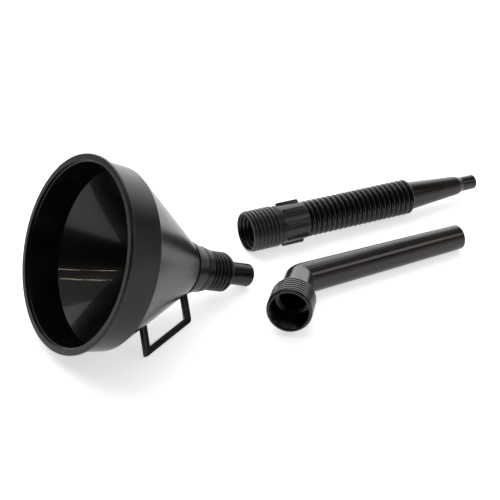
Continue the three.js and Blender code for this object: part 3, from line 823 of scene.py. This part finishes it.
def nut_angles():
    """Columns closer together where the lugs rise."""
    half = [0, 1.1, 2.0, 2.9, 3.7, 4.5, 5.3, 6.2, 7.4, 9.0, 11.5, 14.5, 18.0]
    sector = [-o for o in reversed(half[1:])] + half + [22.5]
    return sorted(math.radians((45 * i + 22.5 + o) % 360) for i in range(LUG_COUNT) for o in sector)


def cuff_outline(_angle):
    """The hose's sleeve, with the flange that the nut turns on."""
    return [
        (CUFF_START, CUFF_BORE, 0.2),
        (CUFF_START, FLANGE, 0.3),
        (CUFF_START + FLANGE_THICKNESS, FLANGE, 0.3),
        (CUFF_START + FLANGE_THICKNESS, CUFF, 0.1),
        (CUFF_END, CUFF, 0.3),
        (CUFF_END, CUFF_BORE, 0.2),
    ]


def bellows(along):
    """Radius of the hose skin: full rounded rings with tight valleys between them."""
    phase = (along - HOSE_START) / RING_PITCH - 0.5
    return RING_VALLEY + (RING_CREST - RING_VALLEY) * abs(math.cos(math.pi * phase))


def hose_skin(name, start, end):
    """A length of the hose skin between two stations, closed at both ends."""
    steps = max(10, int(round((end - start) / RING_PITCH * HOSE_ROWS_PER_RING)))
    crowding = ROW_CROWDING if end - start > RING_PITCH * 0.9 else 0.0
    rows = []
    for i in range(steps + 1):
        t = i / steps
        along = start + (end - start) * (t + crowding * math.sin(2 * math.pi * t) / (2 * math.pi))
        rows.append((along, bellows(along)))
    line = np.array(rows + [(x, r - RING_WALL) for x, r in reversed(rows)])
    angles = np.array(even(HOSE_SIDES))[:, None]
    stations = np.broadcast_to(line[:, 0], (HOSE_SIDES, len(line)))
    points = np.stack([stations, line[:, 1] * np.cos(angles), line[:, 1] * np.sin(angles)], axis=-1)
    marks = np.zeros((HOSE_SIDES, len(line)))
    # Ring crests are marked as edges: rubbed, with a painted highlight along each crest.
    marks[:, : len(rows)] = (line[: len(rows), 1] - RING_VALLEY) / (RING_CREST - RING_VALLEY)
    return skin(name, points, marks * 0.6, FLEXIBLE)


def hose_body(number):
    """The body after a number of hose rings."""
    return f"hose_segment_{number:02d}" if number else "flexible_spout_base"


def nozzle_outline(_angle):
    """A long taper, a short shoulder, and a straight tip."""
    return [
        (NOZZLE_START, NOZZLE_BASE, 0.5),
        (NOZZLE_CONE_END, NOZZLE_CONE, 0.9),
        (NOZZLE_TIP_START, NOZZLE_TIP, 1.2),
        (NOZZLE_END, NOZZLE_TIP, 1.1),
        (NOZZLE_END, NOZZLE_TIP - NOZZLE_WALL, 0.4),
        (NOZZLE_TIP_START, NOZZLE_TIP - NOZZLE_WALL, 1.0),
        (NOZZLE_CONE_END, NOZZLE_CONE - NOZZLE_WALL, 1.0),
        (NOZZLE_START, NOZZLE_BASE - NOZZLE_WALL, 0.3),
    ]


dress(turned("nut_shell", nut_outline, nut_angles(), FLEXIBLE), NUT_BLACK,
      "coupling_nut", ("coupling_nut",))
dress(turned("cuff_sleeve", cuff_outline, even(96), FLEXIBLE), HOSE_BLACK,
      "flexible_spout_base", ("hose_cuff",))
for ring in range(1, RING_COUNT + 1):
    joint = HOSE_START + (ring - 1) * RING_PITCH
    end = joint + RING_PITCH / 2
    start = CUFF_END + 0.05 if ring == 1 else joint - RING_PITCH / 2
    fold = hose_skin(f"hose_skin_{ring:02d}", start, end)
    dress(fold, HOSE_BLACK, None, (f"hose_ring_{ring:02d}",))
    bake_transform(fold)
last_crest = HOSE_START + (RING_COUNT - 0.5) * RING_PITCH
dress(hose_skin("hose_skin_end", last_crest, HOSE_START + RING_COUNT * RING_PITCH), HOSE_BLACK,
      hose_body(RING_COUNT))
dress(turned("nozzle_shell", nozzle_outline, even(96), FLEXIBLE), SPOUT_BLACK,
      hose_body(RING_COUNT), ("nozzle",))


# ---- Bent spout ----

# The third number in SOCKET_MOUTH, TUBE_RIM and SOCKET_LEDGE marks edges: rubbed, and lightened as a painted
# edge highlight.
SOCKET_MOUTH = [(0.0, RIDGE_ROOT - 0.55, 0.6), (0.08, RIDGE_ROOT - 0.25, 0.9), (0.3, RIDGE_ROOT - 0.05, 0.8),
                (0.6, RIDGE_ROOT, 0.2)]
SOCKET_SHOULDER = [(-0.1, RIDGE_ROOT - 0.2), (0.6, RIDGE_ROOT - 0.9), (1.7, NECK + 1.6), (2.6, NECK + 0.5),
                   (3.4, NECK + 0.1), (4.5, NECK), (12, NECK), (18, NECK)]
TUBE_RIM = [(-1.2, 0.0, 0.1), (-0.8, 0.0, 0.4), (-0.4, -0.12, 0.8), (-0.12, -0.4, 1.0), (0.0, -0.8, 0.7),
            (0.0, -1.2, 0.2), (-0.1, -1.5, 0.5), (-0.35, -1.7, 0.4)]
BENT_BORE = NECK - BENT_WALL
SOCKET_LEDGE = [(18, BENT_BORE, 0.0), (4, BENT_BORE, 0.0), (1.9, BENT_BORE, 0.0),
                (1.6, BENT_BORE + 0.2, 0.3), (1.5, BENT_BORE + 0.6, 0.0),
                (1.5, SOCKET_MINOR - 0.5, 0.0), (1.3, SOCKET_MINOR - 0.1, 0.0)]
SOCKET_LEAD = [(0.6, SOCKET_MINOR + 0.05, 0.0), (0.15, SOCKET_MINOR + 0.2, 0.5),
               (0.0, SOCKET_MINOR + 0.6, 0.3)]


def bent_spout():
    """One moulding: threaded socket, neck, elbow with a tight inside crease, and tapered tube."""
    mouth = SOCKET.translation
    along_neck, across, up = [(SOCKET.to_3x3() @ axis).normalized() for axis in Matrix.Identity(3)]
    along_tube = (BENT_END.to_3x3() @ Vector((1, 0, 0))).normalized()
    corner = mouth + along_neck * (NECK_REACH * MM)
    tube_end = corner + along_tube * (TUBE_LENGTH * MM)
    bend = along_neck.angle(along_tube)
    outward = (along_neck - along_tube).normalized()
    outside = (outward - along_neck * outward.dot(along_neck)).normalized()
    side = along_neck.cross(outside)

    def straight(rows, radial):
        """Rows round the neck's straight axis."""
        return [(mouth + along_neck * (x * MM) + radial * (r * MM), mark) for x, r, mark in rows]

    def elbow(inset, cos_out, sin_out, inside_bend):
        """Rows round the bend, inset from the outside skin."""
        centre = corner - outward * (inside_bend * MM / math.cos(bend / 2))
        reach = ((NECK - inset) * cos_out + inside_bend) * MM
        sideways = side * ((NECK - inset) * sin_out * MM)
        rows = []
        for i in range(ELBOW_STEPS + 1):
            turn = bend * i / ELBOW_STEPS
            way = outside * math.cos(turn) + along_neck * math.sin(turn)
            rows.append((centre + way * reach + sideways, 0.0))
        return rows

    def tube(inset, ray, start):
        """Rows down the tapered tube, inset from the outside skin."""
        rows = []
        for i in range(1, TUBE_STEPS):
            along = start + (TUBE_LENGTH - TUBE_RIM_LENGTH - start) * i / TUBE_STEPS
            radius = NECK + (TUBE_END - NECK) * (along - start) / (TUBE_LENGTH - start) - inset
            rows.append((corner + along_tube * (along * MM) + ray * (radius * MM), 0.0))
        return rows

    def column(angle):
        """Points and marks along one side, out along the skin and back along the bore."""
        radial = across * math.cos(angle) + up * math.sin(angle)
        cos_out, sin_out = radial.dot(outside), radial.dot(side)
        excess = (CREASE_BEND - NECK * cos_out - INSIDE_BEND) / CREASE_BEND
        inside_bend = INSIDE_BEND + CREASE_BEND * math.log1p(math.exp(excess))
        tube_start = inside_bend * math.tan(bend / 2)
        ray = (outside * math.cos(bend) + along_neck * math.sin(bend)) * cos_out + side * sin_out
        ridges = thread_rows(SOCKET_LIP, BENT_SOCKET - 0.4, RIDGE_ROOT - 0.1, RIDGE_CREST, angle,
                             round_thread, fade=0.8)
        inside = thread_rows(SOCKET_LIP, BENT_SOCKET, SOCKET_MINOR + 0.05, SOCKET_MAJOR, angle,
                             round_ridge, fade=1.2)
        rows = straight(SOCKET_MOUTH, radial)
        rows += straight([(x, r, 0.0) for x, r, _ in ridges], radial)
        rows += straight([(BENT_SOCKET + x, r, 0.0) for x, r in SOCKET_SHOULDER], radial)
        rows += elbow(0, cos_out, sin_out, inside_bend)
        rows += tube(0, ray, tube_start)
        for x, r, mark in TUBE_RIM:
            rows.append((tube_end + along_tube * (x * MM) + ray * ((TUBE_END + r) * MM), mark))
        rows += reversed(tube(BENT_WALL, ray, tube_start))
        rows += reversed(elbow(BENT_WALL, cos_out, sin_out, inside_bend))
        rows += straight([(BENT_SOCKET + x, r, mark) for x, r, mark in SOCKET_LEDGE], radial)
        rows += straight([(x, r, 0.0) for x, r, _ in reversed(inside)], radial)
        rows += straight(SOCKET_LEAD, radial)
        return rows

    back = SOCKET.inverted()
    columns = [column(angle) for angle in even(BENT_SIDES)]
    points = [[list((back @ spot) / MM) for spot, _ in rows] for rows in columns]
    marks = [[mark for _, mark in rows] for rows in columns]
    return skin("bent_tube", np.array(points), np.array(marks), SOCKET)


def socket_radius(along):
    """Outside radius of the bent spout's socket, and 0 past its end, where no face is marked inside."""
    return RIDGE_ROOT if along < BENT_SOCKET + LEDGE_LENGTH else 0.0


bent = dress(bent_spout(), SPOUT_BLACK, "bent_spout",
             ("bent_spout_socket", "bent_spout_neck", "bent_spout_tube"))
# Painted shade: the faces inside the socket get the darker copy of the spout's black.
paint_inside_shade(bent, SOCKET_INSIDE_SHADE, socket_radius, 1.0, SOCKET)


# ---- Floor ----

def floor():
    """A wide pale floor under the set."""
    bm = bmesh.new()
    bmesh.ops.create_grid(bm, x_segments=8, y_segments=8, size=20.0)
    mesh = bpy.data.meshes.new("floor")
    bm.to_mesh(mesh)
    bm.free()
    piece = bpy.data.objects.new("floor", mesh)
    bpy.context.scene.collection.objects.link(piece)
    material = bpy.data.materials.new("floor_white")
    w = Weave(nodes_of(material))
    place = w.node("ShaderNodeTexCoord").outputs["Object"]
    base = w.mix(w.noise(place, 3.0, 2.0), (0.86, 0.86, 0.86, 1), (0.88, 0.88, 0.88, 1))
    rough = w.math("ADD", 0.55, w.math("MULTIPLY", w.noise(place, 12.0), 0.1))
    shader = w.node("ShaderNodeBsdfPrincipled", inputs={"Base Color": base, "Roughness": rough})
    shader.inputs["Specular IOR Level"].default_value = 0.25
    shader.inputs["Emission Color"].default_value = (1, 1, 1, 1)
    shader.inputs["Emission Strength"].default_value = 0.65
    out = w.node("ShaderNodeOutputMaterial")
    w.tree.links.new(shader.outputs[0], out.inputs[0])
    mesh.materials.append(material)


floor()


# ---- Camera ----

LENS = 83.754
HEADING = (0.46267, 0.88654)
PITCH_DOWN = math.radians(28.539)
CAMERA_OFFSET = (-0.24722, -0.77327)
CAMERA_HEIGHT = 0.519265


def photo_camera():
    """The photograph's viewpoint, set out from the centre of the rim."""
    camera = bpy.data.objects.new("camera", bpy.data.cameras.new("camera"))
    bpy.context.scene.collection.objects.link(camera)
    camera.data.lens = LENS
    camera.data.sensor_width = 36
    camera.data.clip_start = 0.05
    camera.data.clip_end = 60
    rim_centre = FUNNEL.translation
    camera.location = (rim_centre.x + CAMERA_OFFSET[0], rim_centre.y + CAMERA_OFFSET[1], CAMERA_HEIGHT)
    level = math.cos(PITCH_DOWN)
    look = Vector((HEADING[0] * level, HEADING[1] * level, -math.sin(PITCH_DOWN)))
    camera.rotation_mode = "QUATERNION"
    camera.rotation_quaternion = look.to_track_quat("-Z", "Y")
    bpy.context.scene.camera = camera


photo_camera()


# ---- Light ----

BOWL_MIDDLE = (-0.17, 0.03, 0.06)
WARM = (1, 0.86, 0.68)


def softbox(name, spot, target, size, power, colour=(1, 1, 1)):
    """A rectangular lamp that faces its target."""
    data = bpy.data.lights.new(name, "AREA")
    data.shape = "RECTANGLE"
    data.size, data.size_y = size
    data.energy = power
    data.color = colour
    lamp = bpy.data.objects.new(name, data)
    bpy.context.scene.collection.objects.link(lamp)
    lamp.location = spot
    lamp.rotation_mode = "QUATERNION"
    lamp.rotation_quaternion = (Vector(target) - Vector(spot)).to_track_quat("-Z", "Y")
    return lamp


def strip_light(name, start, end, width, power):
    """A thin warm tube between two points, shining into the bowl."""
    start, end = Vector(start), Vector(end)
    middle = (start + end) / 2
    back = (middle - Vector(BOWL_MIDDLE)).normalized()
    along = end - start
    flat = (along - back * along.dot(back)).normalized()
    lamp = softbox(name, middle, BOWL_MIDDLE, (along.length, width), power, WARM)
    lamp.rotation_quaternion = Matrix((flat, back.cross(flat), back)).transposed().to_quaternion()


def room():
    """Studio air: bright behind, right of and above the set, dim elsewhere, pale at the horizon."""
    world = bpy.data.worlds.new("room")
    bpy.context.scene.world = world
    world.use_nodes = True
    world.node_tree.nodes.clear()
    w = Weave(world.node_tree)
    way = w.node("ShaderNodeTexCoord").outputs["Generated"]
    parts = w.node("ShaderNodeSeparateXYZ", inputs={0: way})
    east, north, height = parts.outputs

    def towards(x, y):
        """How far a direction points the way of x and y."""
        return w.math("ADD", w.math("MULTIPLY", east, x), w.math("MULTIPLY", north, y))

    behind = w.math("MULTIPLY", w.ramp(towards(0.46, 0.89), 0.25, 0.85), w.ramp(height, 0.6, 0.8, 1.0, 0.2))
    right = w.math("MULTIPLY", w.ramp(towards(0.94, -0.34), 0.35, 0.9), w.ramp(height, 0.15, 0.4, 1.0, 0.0))
    above = w.ramp(height, 0.7, 0.98)
    level = w.math("MAXIMUM", w.math("MULTIPLY", behind, 2.1), w.math("MULTIPLY", right, 0.7))
    level = w.math("MAXIMUM", level, w.math("MULTIPLY", above, 0.5))
    level = w.math("MAXIMUM", level, w.ramp(height, 0.02, 0.06, 0.6, 0.0))
    strength = w.math("ADD", 0.04, level)
    sky = w.node("ShaderNodeBackground", inputs={"Color": (1, 1, 1, 1), "Strength": strength})
    out = w.node("ShaderNodeOutputWorld")
    w.tree.links.new(sky.outputs[0], out.inputs[0])


room()
softbox("softbox_top", (0.0, 0.75, 1.45), (0, 0.1, 0), (2.2, 1.4), 12.5)
softbox("softbox_side", (0.8, -0.7, 0.83), (0.05, 0.0, 0.03), (0.5, 0.34), 1.3)
strip_light("strip_far", (-0.61, -0.99, 1.25), (-0.45, -0.94, 1.25), 0.012, 0.13)
strip_light("strip_near", (-0.46, -0.66, 1.25), (-0.30, -0.50, 1.25), 0.012, 0.13)

bpy.context.scene.view_settings.view_transform = "Standard"
bpy.context.scene.view_settings.look = "None"
